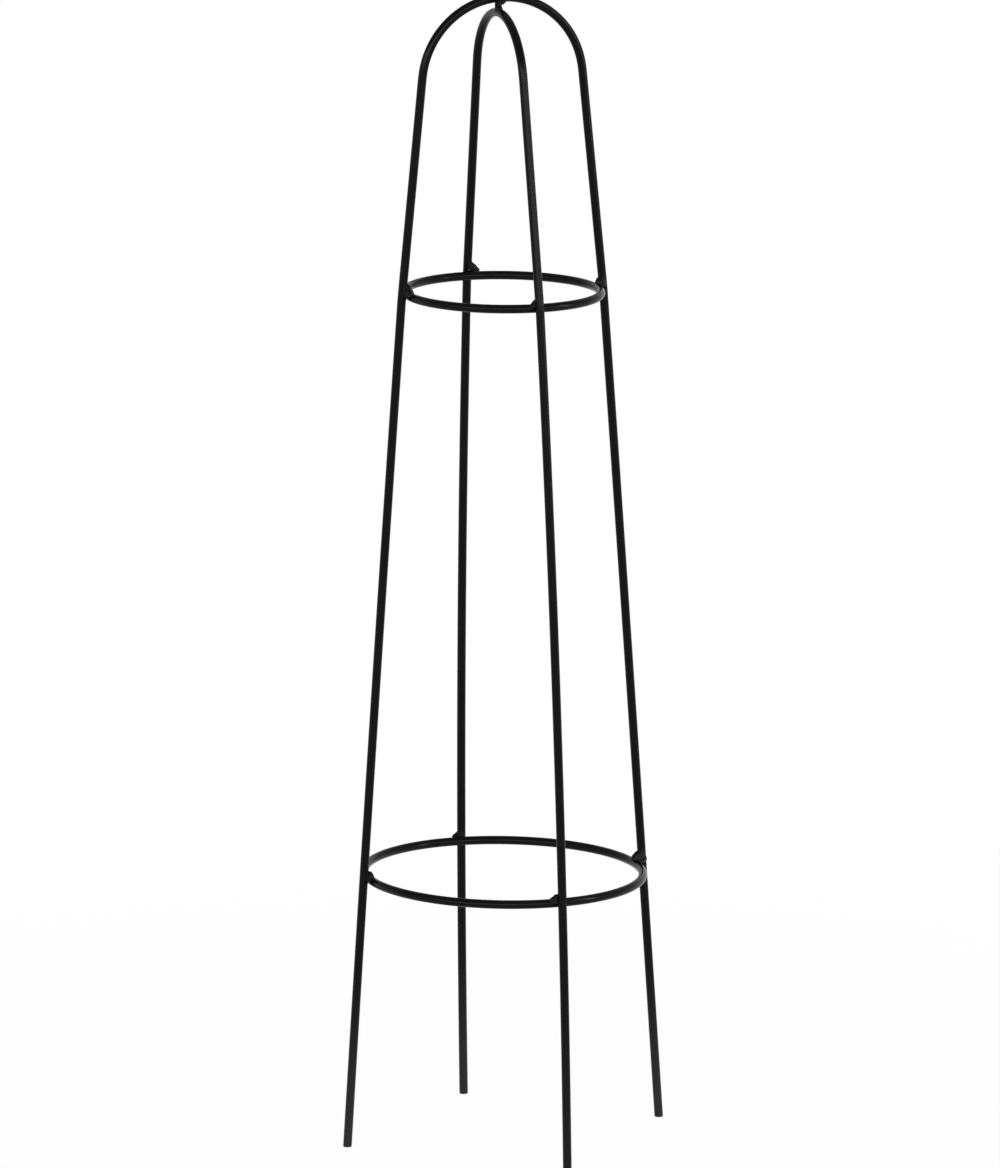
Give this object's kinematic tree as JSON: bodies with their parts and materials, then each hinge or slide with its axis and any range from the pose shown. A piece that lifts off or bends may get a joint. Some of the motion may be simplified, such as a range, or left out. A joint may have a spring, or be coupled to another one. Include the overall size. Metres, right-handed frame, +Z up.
{
  "type": "garden obelisk",
  "caption": "Tall open climbing-plant frame: two bent steel bar hoops that cross at the top, held by welded rings, coated satin black.",
  "frame": {"origin": "on the ground, at the middle between the four feet", "axes": "+Z up the frame; +X toward the outer hoop's right leg, +Y toward the inner hoop's back leg"},
  "size_m": [0.354, 0.325, 1.1965],
  "materials": {
    "bar_coat": "satin black coating on mild steel bar",
    "weld_coat": "satin black coating over lumpy weld metal"
  },
  "bodies": {
    "root": {"outer_hoop": "bar_coat", "inner_hoop": "bar_coat", "upper_ring": "bar_coat", "lower_ring": "bar_coat", "crown_spacer": "bar_coat", "upper_ring_weld_left": "weld_coat", "upper_ring_weld_right": "weld_coat", "upper_ring_weld_front": "weld_coat", "upper_ring_weld_back": "weld_coat", "lower_ring_weld_left": "weld_coat", "lower_ring_weld_right": "weld_coat", "lower_ring_weld_front": "weld_coat", "lower_ring_weld_back": "weld_coat", "crown_weld_upper": "weld_coat", "crown_weld_lower": "weld_coat", "upper_ring_closing_weld": "weld_coat", "lower_ring_closing_weld": "weld_coat"}
  },
  "joints": []
}
